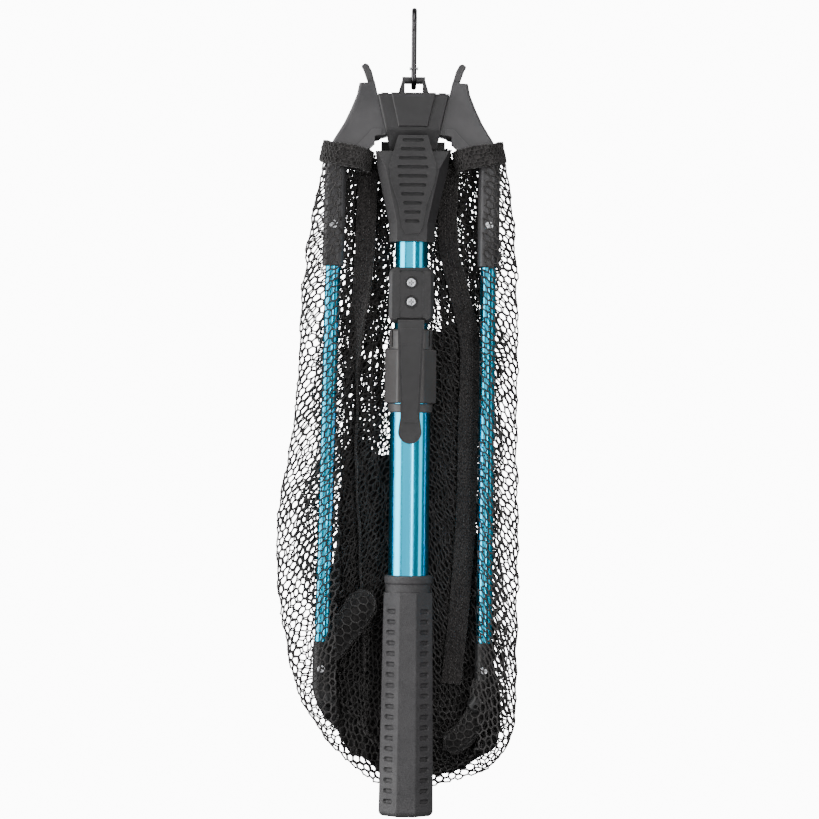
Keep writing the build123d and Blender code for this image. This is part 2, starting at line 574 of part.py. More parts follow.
def grip_section(z, half, flat):
    """One eight-sided section of the grip."""
    points = [(-flat, -half), (flat, -half), (half, -flat), (half, flat),
              (flat, half), (-flat, half), (-half, flat), (-half, -flat)]
    return Face(Wire.make_polygon([(x, y, z) for x, y in points], close=True))


def make_grip():
    grip = loft([grip_section(GRIP_FOOT_Z, GRIP_FOOT_HALF, 6.6), grip_section(-405.0, GRIP_TOP_HALF + 0.2, 5.9)],
                ruled=True)
    grip = fillet(grip.edges().filter_by(lambda edge: abs(edge.tangent_at(0.5).Z) > 0.9), 1.6)
    grip = fillet(grip.faces().sort_by(Axis.Z)[0].edges(), 4.0)
    neck = rod((0, 0, -405.2), (0, 0, -399.2), 16.0)
    bead = rod((0, 0, -399.4), (0, 0, GRIP_TOP_Z), 16.8)
    bead = fillet(bead.edges().filter_by(GeomType.CIRCLE), 1.8)
    grip += neck + bead
    cuts = []
    for corner in range(4):
        for index in range(GRIP_RIDGES):
            z = -417.9 - GRIP_RIDGE_PITCH * index
            share = (GRIP_TOP_Z - z) / (GRIP_TOP_Z - GRIP_FOOT_Z)
            half = GRIP_TOP_HALF + (GRIP_FOOT_HALF - GRIP_TOP_HALF) * share
            flat = 5.9 + 0.7 * share
            reach = (half + flat) / sqrt(2)
            slot = extrude(SlotOverall(7.0, 1.5), 3, taper=-DIMPLE_TAPER)
            slot = Pos(0, -reach + DIMPLE_DEPTH, z) * Rot(90, 0, 0) * slot
            cuts.append(Rot(0, 0, 45 + 90 * corner) * slot)
    grip -= cuts
    grip -= rod((0, 0, LOWER_TUBE_END_Z), (0, 0, GRIP_TOP_Z + 1), LOWER_TUBE_R)
    return grip - rod((0, 0, GRIP_FOOT_Z - 1), (0, 0, LOWER_TUBE_END_Z), 9.0)


def make_butt_plug():
    plug = rod((0, 0, GRIP_FOOT_Z), (0, 0, LOWER_TUBE_END_Z), 9.0)
    plug += rod((0, 0, LOWER_TUBE_END_Z), (0, 0, LOWER_TUBE_END_Z + 10), LOWER_TUBE_R - LOWER_TUBE_WALL)
    return plug


# ---- net: hems and front layers on the arms, gathered bags and rim bands behind ------------
LEFT_EDGE = [(-64.0, -112.0), (-73.3, -165.0), (-78.0, -225.0), (-82.0, -290.0), (-93.0, -366.0),
             (-84.0, -445.0), (-70.0, -487.0), (-45.0, -520.0), (-20.0, -539.0)]
RIGHT_EDGE = [(64.5, -112.0), (72.5, -172.0), (74.5, -225.0), (74.6, -300.0), (76.5, -370.0),
              (76.0, -480.0), (71.0, -509.0), (57.0, -527.0), (22.0, -539.0)]


def net_outline(side, inner_x):
    """The gathered net's outline on one side, as a closed list of points."""
    edge = LEFT_EDGE if side == "left" else RIGHT_EDGE
    sign = -1 if side == "left" else 1
    return edge + [(sign * inner_x, edge[-1][1] + 3), (sign * inner_x, edge[0][1])]


def plan_prism(outline):
    """A tall prism whose outline, in x and y, is seen from above."""
    face = Face(Wire.make_polygon([(x, y, -560) for x, y in outline], close=True))
    return Solid.extrude(face, Vector(0, 0, 480))


def make_net_bag(side):
    """The gathered bag; its inner edge leans away so the two halves pass clear as the arms swing over."""
    sign = -1 if side == "left" else 1
    plan = [(8.0, NET_DEEP_Y), (47.5, NET_DEEP_Y), (53.0, NET_BACK_Y), (100.0, NET_BACK_Y),
            (100.0, NET_BACK_Y + NET_BUNCH * 0.6), (57.0, NET_BACK_Y + NET_BUNCH),
            (50.0, NET_DEEP_Y + NET_BUNCH), (8.0, NET_DEEP_Y + NET_BUNCH)]
    plan = [(sign * x, y) for x, y in plan]
    lowered = block(-200, 200, -50, 50, -600, -150.0)
    bag = (front_prism(net_outline(side, 8.0), 0, 40) & plan_prism(plan)) & lowered
    parting = [(0, -600), (24.6, -600), (8.0, -235), (0, -235)]
    return bag - front_prism([(sign * x, z) for x, z in parting], 0, 60)


def make_net_front(side):
    outline = net_outline(side, 34.0)
    skin = front_prism(outline, NET_FRONT_Y, NET_FRONT_Y + NET_SKIN)
    return skin & block(-200, 200, -50, 50, -505.0, -113.0)


def make_hem(side):
    outer = block(-17.6, 17.6, -14.0, 14.0, -7.6, 7.6)
    outer = fillet(outer.edges().filter_by(Axis.Z), 4.5)
    inner = block(-16.5, 16.5, -12.7, 12.7, -9.0, 9.0)
    inner = fillet(inner.edges().filter_by(Axis.Z), 2.0)
    ring = Pos(-46.4, 0, -100.6) * Rot(0, 12, 0) * (outer - inner)
    return sided(ring, side)


BAND_HALF = 7.0
BAND_Y = 17.4


def make_rim_band(side):
    """The flat webbing of the net's front rim, hanging slack beside the handle."""
    sign = -1 if side == "left" else 1
    top, bend, foot = (27.5, -112.0), (39.0, -300.0), (33.0, -452.0)
    outline = [(top[0] - BAND_HALF, top[1]), (top[0] + BAND_HALF, top[1]), (bend[0] + BAND_HALF, bend[1]),
               (foot[0] + BAND_HALF, foot[1]), (foot[0] - BAND_HALF, foot[1]), (bend[0] - BAND_HALF, bend[1])]
    return front_prism([(sign * x, z) for x, z in outline], BAND_Y, BAND_Y + 1.8)


# ---- write one file for each piece ---------------------------------------------------------
PIECES = {
    "carabiner_body": make_carabiner(),
    "carabiner_gate": make_gate(),
    "gate_pin": make_gate_pin(),
    "head_core": make_head_core(),
    "head_front_cover": make_front_cover(),
    "head_rear_cover": make_rear_cover(),
    "head_screws": make_head_screws(),
    "upper_tube": make_upper_tube(),
    "upper_tube_plug": make_tube_plug(),
    "lock_slider": make_slider(),
    "clip_base": make_clip_base(),
    "clip_plate": make_clip_plate(),
    "clip_screws": make_clip_screws(),
    "belt_clip": make_belt_clip(),
    "lock_collet": make_lock_collet(),
    "lock_nut": make_lock_nut(),
    "lock_ring": make_lock_ring(),
    "lower_tube": make_lower_tube(),
    "grip": make_grip(),
    "butt_plug": make_butt_plug(),
}
for hand in ("left", "right"):
    PIECES[hand + "_wing"] = make_wing(hand)
    PIECES[hand + "_hinge_bolt"] = make_hinge_bolt(hand)
    PIECES[hand + "_arm_tube"] = make_arm_tube(hand)
    PIECES[hand + "_arm_screw"] = make_arm_screw(hand)
    PIECES[hand + "_tip_elbow"] = make_tip_elbow(hand)
    PIECES[hand + "_tip_screw"] = make_tip_screw(hand)
    PIECES[hand + "_net_hem"] = make_hem(hand)
    PIECES[hand + "_net_front"] = make_net_front(hand)
    PIECES[hand + "_net_bag"] = make_net_bag(hand)
    PIECES[hand + "_rim_band"] = make_rim_band(hand)

os.makedirs("parts", exist_ok=True)
for name, piece in PIECES.items():
    export_step(piece, os.path.join("parts", name + ".step"))
print("hinge point", hinge_axis_point(0), "slant", degrees(HEAD_SLANT))
print("gate pin", gate_line(GATE_PIN_Z))
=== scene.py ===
import math
import bpy
import numpy as np
from mathutils import Matrix, Vector


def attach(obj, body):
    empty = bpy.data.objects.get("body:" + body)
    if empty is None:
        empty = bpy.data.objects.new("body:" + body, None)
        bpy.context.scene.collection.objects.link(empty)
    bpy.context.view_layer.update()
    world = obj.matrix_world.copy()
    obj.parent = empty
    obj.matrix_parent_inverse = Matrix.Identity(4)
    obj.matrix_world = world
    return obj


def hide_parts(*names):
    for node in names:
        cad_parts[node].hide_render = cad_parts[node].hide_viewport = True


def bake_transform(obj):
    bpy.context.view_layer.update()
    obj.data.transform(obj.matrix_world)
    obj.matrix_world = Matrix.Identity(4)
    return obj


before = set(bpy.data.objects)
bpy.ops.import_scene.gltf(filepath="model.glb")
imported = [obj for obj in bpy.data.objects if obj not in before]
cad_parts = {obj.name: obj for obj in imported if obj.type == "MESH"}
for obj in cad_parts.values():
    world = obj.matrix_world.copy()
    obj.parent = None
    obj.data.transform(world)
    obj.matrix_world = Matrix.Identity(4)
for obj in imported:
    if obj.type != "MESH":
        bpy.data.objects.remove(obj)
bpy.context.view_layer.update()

MM = 0.001


# ---- camera, light and stage ---------------------------------------------------------------
CAMERA_DISTANCE = 2.6
CAMERA_LENS = 163.4
CAMERA_HEIGHT = -0.2772
CAMERA_ROLL = 0.0112          # the object hangs this far off the picture's upright, in radians
CAMERA_ASIDE = -0.0004
SENSOR_WIDTH = 36.0
LIGHT_TARGET = (0, 0, -0.27)

# Each lamp's name, place, width, height and watts.
LIGHTS = [
    ("front_soft", (-0.35, -2.3, 0.15), 3.0, 2.2, 19.0),
    ("left_soft", (-1.15, -0.25, -0.2), 1.2, 1.7, 33.0),
    ("strip_right", (0.36, -1.20, -0.2), 0.13, 1.7, 7.0),
    ("fill_right", (1.25, -0.55, 0.0), 0.5, 1.6, 4.5),
    ("top_soft", (-0.3, -0.7, 1.3), 1.2, 1.2, 15.0),
    ("back_soft", (0.3, 1.9, 0.4), 1.6, 1.6, 12.0),
]
WORLD_COLOUR = (0.96, 0.97, 1.0)
WORLD_STRENGTH = 0.22

STAGE_COLOUR = (0.9, 0.9, 0.9)
FLOOR_Z = -1.35
FLOOR_HALF = 6
FLOOR_GLOW = 2.5
WALL_Y = 8.0
WALL_HALF = 3.6
WALL_FOOT_Z = -2.1
WALL_TOP_Z = 2.4
WALL_GLOW = 11.5


def make_camera():
    camera = bpy.data.objects.new("camera", bpy.data.cameras.new("camera"))
    bpy.context.scene.collection.objects.link(camera)
    camera.data.lens = CAMERA_LENS
    camera.data.sensor_width = SENSOR_WIDTH
    camera.data.clip_start = 0.05
    camera.data.clip_end = 50.0
    up = Vector((-math.sin(CAMERA_ROLL), 0, math.cos(CAMERA_ROLL)))
    back = Vector((0, -1, 0))
    right = up.cross(back)
    turned = Matrix((right, up, back)).transposed().to_4x4()
    camera.matrix_world = Matrix.Translation((CAMERA_ASIDE, -CAMERA_DISTANCE, CAMERA_HEIGHT)) @ turned
    bpy.context.scene.camera = camera


def area_light(name, place, width, height, watts):
    light = bpy.data.lights.new(name, "AREA")
    light.shape = "RECTANGLE"
    light.size, light.size_y = width, height
    light.energy = watts
    lamp = bpy.data.objects.new(name, light)
    bpy.context.scene.collection.objects.link(lamp)
    lamp.location = place
    aim = Vector(LIGHT_TARGET) - Vector(place)
    lamp.rotation_mode = "QUATERNION"
    lamp.rotation_quaternion = aim.to_track_quat("-Z", "Y")
    lamp.visible_camera = False


def make_lights():
    """Softboxes to the front, the left, above and behind, a thin strip and a weak fill on the right."""
    for lamp in LIGHTS:
        area_light(*lamp)
    world = bpy.data.worlds.new("studio")
    bpy.context.scene.world = world
    world.use_nodes = True
    background = world.node_tree.nodes["Background"]
    background.inputs["Color"].default_value = (*WORLD_COLOUR, 1)
    background.inputs["Strength"].default_value = WORLD_STRENGTH


def stage_plane(name, corners, glow):
    mesh = bpy.data.meshes.new(name)
    mesh.from_pydata(corners, [], [(0, 1, 2, 3)])
    plane = bpy.data.objects.new(name, mesh)
    bpy.context.scene.collection.objects.link(plane)
    paint = bpy.data.materials.new(name)
    paint.use_nodes = True
    shader = paint.node_tree.nodes["Principled BSDF"]
    shader.inputs["Base Color"].default_value = (*STAGE_COLOUR, 1)
    shader.inputs["Roughness"].default_value = 0.9
    shader.inputs["Emission Color"].default_value = (1, 1, 1, 1)
    shader.inputs["Emission Strength"].default_value = glow
    mesh.materials.append(paint)
    plane.visible_diffuse = False
    plane.visible_glossy = False


def make_stage():
    stage_plane("floor", [(-FLOOR_HALF, -FLOOR_HALF, FLOOR_Z), (FLOOR_HALF, -FLOOR_HALF, FLOOR_Z),
                          (FLOOR_HALF, FLOOR_HALF, FLOOR_Z), (-FLOOR_HALF, FLOOR_HALF, FLOOR_Z)], FLOOR_GLOW)
    stage_plane("backdrop", [(-WALL_HALF, WALL_Y, WALL_FOOT_Z), (WALL_HALF, WALL_Y, WALL_FOOT_Z),
                             (WALL_HALF, WALL_Y, WALL_TOP_Z), (-WALL_HALF, WALL_Y, WALL_TOP_Z)], WALL_GLOW)


make_camera()
make_lights()
make_stage()


# ---- materials -----------------------------------------------------------------------------
class Paint:
    """A material and a few shortcuts for its nodes."""

    def __init__(self, name):
        self.material = bpy.data.materials.new(name)
        self.material.use_nodes = True
        self.tree = self.material.node_tree
        self.shader = self.tree.nodes["Principled BSDF"]
        self.place = self.tree.nodes.new("ShaderNodeTexCoord").outputs["Object"]

    def node(self, kind, **settings):
        made = self.tree.nodes.new(kind)
        for key, value in settings.items():
            setattr(made, key, value)
        return made

    def link(self, output, target):
        self.tree.links.new(output, target)

    def set(self, **values):
        for key, value in values.items():
            self.shader.inputs[key.replace("_", " ")].default_value = value

    def scaled(self, scale):
        mapping = self.node("ShaderNodeMapping")
        mapping.inputs["Scale"].default_value = scale
        self.link(self.place, mapping.inputs["Vector"])
        return mapping.outputs["Vector"]

    def noise(self, scale, detail=3.0, stretch=(1, 1, 1), rough=0.5):
        noise = self.node("ShaderNodeTexNoise")
        noise.inputs["Scale"].default_value = scale
        noise.inputs["Detail"].default_value = detail
        noise.inputs["Roughness"].default_value = rough
        self.link(self.scaled(stretch), noise.inputs["Vector"])
        return noise.outputs["Fac"]

    def cells(self, scale, feature="F1", stretch=(1, 1, 1)):
        cells = self.node("ShaderNodeTexVoronoi", feature=feature)
        cells.inputs["Scale"].default_value = scale
        self.link(self.scaled(stretch), cells.inputs["Vector"])
        return cells.outputs["Distance"]

    def ramp(self, source, stops):
        ramp = self.node("ShaderNodeValToRGB")
        elements = ramp.color_ramp.elements
        while len(elements) < len(stops):
            elements.new(0.5)
        for element, (position, colour) in zip(elements, stops):
            element.position = position
            element.color = (*colour, 1)
        self.link(source, ramp.inputs["Fac"])
        return ramp.outputs["Color"]

    def grey(self, source, low, high, start=0.3, stop=0.7):
        remap = self.node("ShaderNodeMapRange")
        remap.inputs["From Min"].default_value = start
        remap.inputs["From Max"].default_value = stop
        remap.inputs["To Min"].default_value = low
        remap.inputs["To Max"].default_value = high
        self.link(source, remap.inputs["Value"])
        return remap.outputs["Result"]

    def mix(self, factor, first, second):
        mix = self.node("ShaderNodeMix", data_type="RGBA")
        self.link(factor, mix.inputs["Factor"])
        for socket, value in ((mix.inputs["A"], first), (mix.inputs["B"], second)):
            if isinstance(value, tuple):
                socket.default_value = (*value, 1)
            else:
                self.link(value, socket)
        return mix.outputs["Result"]

    def wear_and_edge_highlight(self, radius=0.0007):
        """A mask for edge wear and painted edge highlight: 1 on sharp edges, broken up by noise, and 0 on
        flat faces.
        """
        bevel = self.node("ShaderNodeBevel", samples=4)
        bevel.inputs["Radius"].default_value = radius
        facing = self.node("ShaderNodeVectorMath", operation="DOT_PRODUCT")
        self.link(bevel.outputs["Normal"], facing.inputs[0])
        self.link(self.node("ShaderNodeNewGeometry").outputs["Normal"], facing.inputs[1])
        edge = self.grey(facing.outputs["Value"], 1.0, 0.0, 0.86, 0.985)
        broken = self.node("ShaderNodeMath", operation="MULTIPLY")
        self.link(edge, broken.inputs[0])
        self.link(self.grey(self.noise(240, 4), 0.25, 1.0), broken.inputs[1])
        return broken.outputs["Value"]

    def painted_recess_shade(self, reach):
        """A mask for painted shade, from ambient occlusion: 1 deep in a recess and 0 on open faces."""
        around = self.node("ShaderNodeAmbientOcclusion", samples=8, only_local=True)
        around.inputs["Distance"].default_value = reach
        return self.grey(around.outputs["AO"], 1.0, 0.0, 0.35, 0.92)

    def bump(self, *heights):
        """Stacks bumps, each a height source, a strength and a depth in metres."""
        normal = None
        for source, strength, depth in heights:
            bump = self.node("ShaderNodeBump")
            bump.inputs["Strength"].default_value = strength
            bump.inputs["Distance"].default_value = depth
            self.link(source, bump.inputs["Height"])
            if normal is not None:
                self.link(normal, bump.inputs["Normal"])
            normal = bump.outputs["Normal"]
        self.link(normal, self.shader.inputs["Normal"])

    def colour(self, source):
        self.link(source, self.shader.inputs["Base Color"])

    def roughness(self, source):
        self.link(source, self.shader.inputs["Roughness"])


def moulded_plastic(name, dark, light, rough):
    """Spark-textured nylon with rubbed edges, lightened both as wear and as painted highlight, and painted
    shade in its recesses.
    """
    paint = Paint(name)
    shade = paint.ramp(paint.noise(38, 4), [(0.3, dark), (0.7, light)])
    rubbed_and_highlit = tuple(min(1, 1.7 * c + 0.010) for c in light)
    # Painted shade: the colour falls to a quarter of the dark tone in recesses.
    shade = paint.mix(paint.painted_recess_shade(0.004), shade, tuple(c * 0.25 for c in dark))
    # Edges lightened both as wear and as painted highlight.
    paint.colour(paint.mix(paint.wear_and_edge_highlight(), shade, rubbed_and_highlit))
    paint.roughness(paint.grey(paint.noise(160, 3), rough - 0.06, rough + 0.08))
    paint.bump((paint.noise(2600, 2), 0.35, 0.00012), (paint.noise(300, 3), 0.12, 0.0002))
    paint.set(Specular_IOR_Level=0.36)
    return paint.material


def anodised_tube(name):
    """Bright drawn aluminium, dyed cyan, with fine lengthwise lines and a few scuffs."""
    paint = Paint(name)
    lines = paint.noise(900, 3, (1, 1, 0.012))
    tone = paint.ramp(paint.noise(120, 2, (1, 1, 0.05)), [(0.3, (0.0, 0.58, 0.90)), (0.7, (0.0, 0.68, 1.0))])
    scuffs = paint.grey(paint.noise(45, 5, (1, 1, 0.4), 0.7), 0.0, 1.0, 0.66, 0.74)
    paint.colour(paint.mix(scuffs, tone, (0.02, 0.54, 0.80)))
    paint.roughness(paint.grey(lines, 0.13, 0.24))
    paint.bump((lines, 0.08, 0.00004))
    paint.set(Metallic=1.0)
    return paint.material


def plated_steel(name, colour, rough):
    """Plated metal with a fine grain, and painted shade in its recesses."""
    paint = Paint(name)
    shade = paint.ramp(paint.noise(220, 4), [(0.25, tuple(c * 0.75 for c in colour)), (0.75, colour)])
    # Painted shade: the colour falls to an eighth in recesses.
    paint.colour(paint.mix(paint.painted_recess_shade(0.0015), shade, tuple(c * 0.12 for c in colour)))
    paint.roughness(paint.grey(paint.noise(700, 3), rough - 0.06, rough + 0.10))
    paint.bump((paint.noise(1500, 2), 0.12, 0.00006))
    paint.set(Metallic=1.0)
    return paint.material


def grip_rubber(name):
    """Moulded rubber with a fine pebbled leather grain, edges lightened as dust and as painted highlight, and
    painted shade in its recesses.
    """
    paint = Paint(name)
    grain = paint.cells(900, "DISTANCE_TO_EDGE")
    shade = paint.ramp(paint.noise(60, 4), [(0.3, (0.046, 0.045, 0.047)), (0.7, (0.064, 0.062, 0.064))])
    # Edges lightened both as dust and as painted highlight.
    dusty_and_highlit = paint.mix(paint.wear_and_edge_highlight(), shade, (0.11, 0.108, 0.11))
    creases = paint.grey(grain, 1.0, 0.0, 0.0, 0.12)
    grained = paint.mix(creases, dusty_and_highlit, (0.024, 0.023, 0.024))
    # Painted shade: nearly black in recesses.
    paint.colour(paint.mix(paint.painted_recess_shade(0.003), grained, (0.008, 0.008, 0.008)))
    paint.roughness(paint.grey(paint.noise(400, 3), 0.48, 0.62))
    paint.bump((paint.grey(grain, 0.0, 1.0, 0.0, 0.25), 0.55, 0.00022), (paint.noise(1800, 3), 0.25, 0.00012))
    paint.set(Specular_IOR_Level=0.4)
    return paint.material


def net_thread(name):
    """Twisted nylon thread."""
    paint = Paint(name)
    twist = paint.noise(2400, 3)
    shade = paint.ramp(paint.noise(260, 3), [(0.3, (0.019, 0.0176, 0.0172)), (0.7, (0.042, 0.039, 0.0384))])
    paint.colour(shade)
    paint.roughness(paint.grey(twist, 0.5, 0.68))
    paint.bump((twist, 0.5, 0.0002))
    paint.set(Specular_IOR_Level=0.35, Sheen_Weight=0.15, Sheen_Roughness=0.4)
    return paint.material


def knit_fabric(name, dark, light, pitch):
    """Dense warp-knit tape, with a small raised loop pattern."""
    paint = Paint(name)
    loops = paint.cells(1 / pitch, "F1", (1.0, 1.0, 0.72))
    fuzz = paint.noise(3000, 2)
    shade = paint.ramp(paint.noise(90, 4), [(0.3, dark), (0.7, light)])
    gaps = paint.grey(loops, 0.0, 1.0, 0.35, 0.75)
    paint.colour(paint.mix(gaps, shade, tuple(c * 0.35 for c in dark)))
    paint.roughness(paint.grey(fuzz, 0.72, 0.92))
    paint.bump((paint.grey(loops, 1.0, 0.0, 0.2, 0.8), 0.8, 0.0005), (fuzz, 0.3, 0.00015))
    paint.set(Specular_IOR_Level=0.25, Sheen_Weight=0.25, Sheen_Roughness=0.5)
    return paint.material


CHARCOAL = moulded_plastic("charcoal_nylon", (0.019, 0.0183, 0.0191), (0.026, 0.025, 0.026), 0.44)
WING_GREY = moulded_plastic("wing_nylon", (0.040, 0.039, 0.041), (0.066, 0.064, 0.066), 0.36)
DARK_CHARCOAL = moulded_plastic("dark_charcoal_nylon", (0.026, 0.0255, 0.0265), (0.034, 0.033, 0.034), 0.40)
BLACK = moulded_plastic("black_nylon", (0.012, 0.012, 0.0125), (0.018, 0.018, 0.0185), 0.36)
LOCK_GREY = moulded_plastic("lock_nylon", (0.066, 0.062, 0.061), (0.085, 0.080, 0.079), 0.36)
CYAN_TUBE = anodised_tube("cyan_anodised")
SCREW = plated_steel("zinc_screw", (0.78, 0.79, 0.82), 0.26)
CARABINER = plated_steel("black_nickel", (0.085, 0.082, 0.085), 0.20)
RUBBER = grip_rubber("pebbled_rubber")
THREAD = net_thread("net_thread")
HEM_CLOTH = knit_fabric("hem_knit", (0.030, 0.0275, 0.027), (0.056, 0.051, 0.050), 0.0017)
TAPE_CLOTH = knit_fabric("tape_knit", (0.030, 0.0265, 0.026), (0.050, 0.045, 0.044), 0.0011)
STITCH = knit_fabric("stitching", (0.070, 0.062, 0.060), (0.10, 0.090, 0.086), 0.0006)
# Black knit several times darker than the thread: the netting's own black plus painted shade for the depth of
# the gathered bag.
SHADED_BUNCH_CLOTH = knit_fabric("bunch_knit_painted_shade", (0.006, 0.0053, 0.0053), (0.013, 0.0115, 0.0115), 0.0035)

NODE_PAINT = {
    "carabiner_body": CARABINER, "carabiner_gate": CARABINER, "gate_pin": SCREW,
    "head_core": DARK_CHARCOAL, "head_front_cover": CHARCOAL, "head_rear_cover": CHARCOAL,
    "head_screws": SCREW,
    "upper_tube": CYAN_TUBE, "upper_tube_plug": BLACK, "lock_slider": CHARCOAL,
    "clip_base": CHARCOAL, "clip_plate": CHARCOAL, "clip_screws": SCREW, "belt_clip": CHARCOAL,
    "lock_collet": LOCK_GREY, "lock_nut": LOCK_GREY, "lock_ring": LOCK_GREY,
    "lower_tube": CYAN_TUBE, "grip": RUBBER, "butt_plug": BLACK,
}
for hand in ("left", "right"):
    NODE_PAINT.update({hand + "_wing": WING_GREY, hand + "_hinge_bolt": SCREW, hand + "_arm_tube": CYAN_TUBE,
                       hand + "_arm_screw": SCREW, hand + "_tip_elbow": BLACK, hand + "_tip_screw": SCREW})


def paint_nodes():
    for name, material in NODE_PAINT.items():
        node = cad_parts[name]
        node.data.materials.clear()
        node.data.materials.append(material)


paint_nodes()

# ---- the net -------------------------------------------------------------------------------
# Lengths here are in millimetres, in the frame's own axes: x across, y away from the front, z up.
CELL_WIDTH = 6.0              # one hexagon of the netting
ROW_PITCH = 4.75
THREAD_R = 0.62
KNOT_R = 0.86
ARM_FRONT_Y = -10.4           # netting in front of an arm tube
ARM_BACK_Y = 14.8             # netting behind an arm tube
HANDLE_BACK_Y = 21.2          # netting just behind the rim bands and the handle
ARM_INNER_X = 47.6            # the arm tubes' inner side
HEM_FOOT_Z = -108.0

# The outer fold of the net from hem to foot, and the line its inner side ends on, as x and z.
EDGE = {
    "left": [(-62, -101), (-66.5, -128), (-73.3, -165), (-77, -210), (-79.5, -270), (-85.5, -315),
             (-92, -362), (-89.5, -410), (-84, -445), (-74, -480), (-57, -507), (-38, -526), (-20, -538.5),
             (-2, -541)],
    "right": [(63.5, -101), (68.5, -126), (72.5, -168), (74.5, -225), (74.6, -300), (76.3, -370), (76, -440),
              (76, -478), (74.5, -500), (68.5, -514), (59, -526), (43.5, -533), (22, -539), (2, -541)],
}
SPINE = [(16, -84), (10, -165), (4, -215), (2, -300), (2, -380), (2, -440), (2, -470), (2, -490)]


class Curve:
    """A smooth curve through a few points, read by arc length."""

    def __init__(self, points, steps=40):
        points = np.array(points, float)
        padded = np.vstack([2 * points[0] - points[1], points, 2 * points[-1] - points[-2]])
        rows = []
        for i in range(1, len(padded) - 2):
            p0, p1, p2, p3 = padded[i - 1:i + 3]
            t = np.linspace(0, 1, steps, endpoint=False)[:, None]
            rows.append(0.5 * (2 * p1 + (p2 - p0) * t + (2 * p0 - 5 * p1 + 4 * p2 - p3) * t ** 2
                               + (3 * p1 - p0 - 3 * p2 + p3) * t ** 3))
        self.line = np.vstack(rows + [points[-1:]])
        step = np.linalg.norm(np.diff(self.line, axis=0), axis=1)
        self.arc = np.concatenate([[0], np.cumsum(step)])
        self.length = self.arc[-1]

    def at(self, distance):
        columns = range(self.line.shape[1])
        return np.stack([np.interp(distance, self.arc, self.line[:, k]) for k in columns], -1)

    def share(self, t):
        return self.at(np.asarray(t) * self.length)


def smooth_step(value, low, high):
    t = np.clip((value - low) / (high - low), 0, 1)
    return t * t * (3 - 2 * t)


def between(share, low, high):
    return low + (high - low) * share


def unit(vectors):
    """The same directions at length 1."""
    return vectors / np.linalg.norm(vectors, axis=-1, keepdims=True)


class Ripple:
    """Smooth random waves over two coordinates, always the same for a seed."""

    def __init__(self, seed, shortest, longest, count=7):
        random = np.random.default_rng(seed)
        self.angle = random.uniform(0, math.tau, count)
        self.phase = random.uniform(0, math.tau, count)
        self.rate = math.tau / random.uniform(shortest, longest, count)
        self.weight = random.uniform(0.5, 1.0, count)
        self.weight /= np.sqrt((self.weight ** 2).sum() / 2)

    def __call__(self, a, b):
        total = 0
        for angle, phase, rate, weight in zip(self.angle, self.phase, self.rate, self.weight):
            total = total + weight * np.sin((a * math.cos(angle) + b * math.sin(angle)) * rate + phase)
        return total


def honeycomb(width, height, cell=CELL_WIDTH, row=ROW_PITCH):
    """Flat corners and strands of a honeycomb centred on x = 0, running down from 0."""
    columns = int(width / (cell / 2)) + 1
    rows = int(height / row) + 1
    r, c = np.meshgrid(np.arange(rows), np.arange(columns), indexing="ij")
    up = (r + c) % 2 == 0
    a = (c - (columns - 1) / 2) * cell / 2
    b = r * row + np.where(up, -row / 6, row / 6)
    index = np.arange(rows * columns).reshape(rows, columns)
    across = np.stack([index[:, :-1].ravel(), index[:, 1:].ravel()], 1)
    down = np.stack([index[:-1].ravel(), index[1:].ravel()], 1)[~up[:-1].ravel()]
    return a.ravel(), b.ravel(), np.vstack([across, down])


def strands_mesh(name, points, pairs, radius=THREAD_R, knot=KNOT_R, sides=5):
    """One object of round strands between pairs of points, with a small knot at each point used.

    The radius may be one number or one for each point."""
    radius = np.broadcast_to(radius, len(points))
    swell = knot / THREAD_R
    start, end = points[pairs[:, 0]], points[pairs[:, 1]]
    along = unit(end - start)
    helper = np.where(np.abs(along[:, 1:2]) < 0.8, np.array([[0, 1.0, 0]]), np.array([[1.0, 0, 0]]))
    side = unit(np.cross(along, helper))
    other = np.cross(side, along)
    verts = []
    for end_index, centre in enumerate((start, end)):
        thick = radius[pairs[:, end_index]][:, None]
        for k in range(sides):
            angle = math.tau * k / sides
            verts.append(centre + thick * (math.cos(angle) * side + math.sin(angle) * other))
    verts = np.stack(verts, 1).reshape(-1, 3)
    base = np.arange(len(pairs))[:, None] * (2 * sides)
    ring = np.arange(sides)
    walls = np.stack([ring, (ring + 1) % sides, sides + (ring + 1) % sides, sides + ring], 1)
    walls = (base[:, :, None] + walls[None]).reshape(-1, 4).tolist()
    near_caps = (base + ring[::-1][None]).tolist()
    far_caps = (base + sides + ring[None]).tolist()
    used = np.unique(pairs)
    diamond = np.array([(1, 0, 0), (-1, 0, 0), (0, 1, 0), (0, -1, 0), (0, 0, 1), (0, 0, -1)], float)
    knots = (points[used][:, None] + (swell * radius[used])[:, None, None] * diamond[None]).reshape(-1, 3)
    corners = np.array([(0, 2, 4), (2, 1, 4), (1, 3, 4), (3, 0, 4),
                        (2, 0, 5), (1, 2, 5), (3, 1, 5), (0, 3, 5)])
    knot_base = len(verts) + np.arange(len(used))[:, None, None] * 6
    knot_faces = (knot_base + corners[None]).reshape(-1, 3).tolist()
    return new_piece(name, np.vstack([verts, knots]), walls + near_caps + far_caps + knot_faces)


def new_piece(name, points, faces, smooth=False):
    """A mesh object from points in millimetres."""
    mesh = bpy.data.meshes.new(name)
    mesh.from_pydata((np.asarray(points) * MM).tolist(), [], faces)
    mesh.update()
    if smooth:
        mesh.polygons.foreach_set("use_smooth", [True] * len(mesh.polygons))
    piece = bpy.data.objects.new(name, mesh)
    bpy.context.scene.collection.objects.link(piece)
    return piece


def side_sign(side):
    return -1 if side == "left" else 1


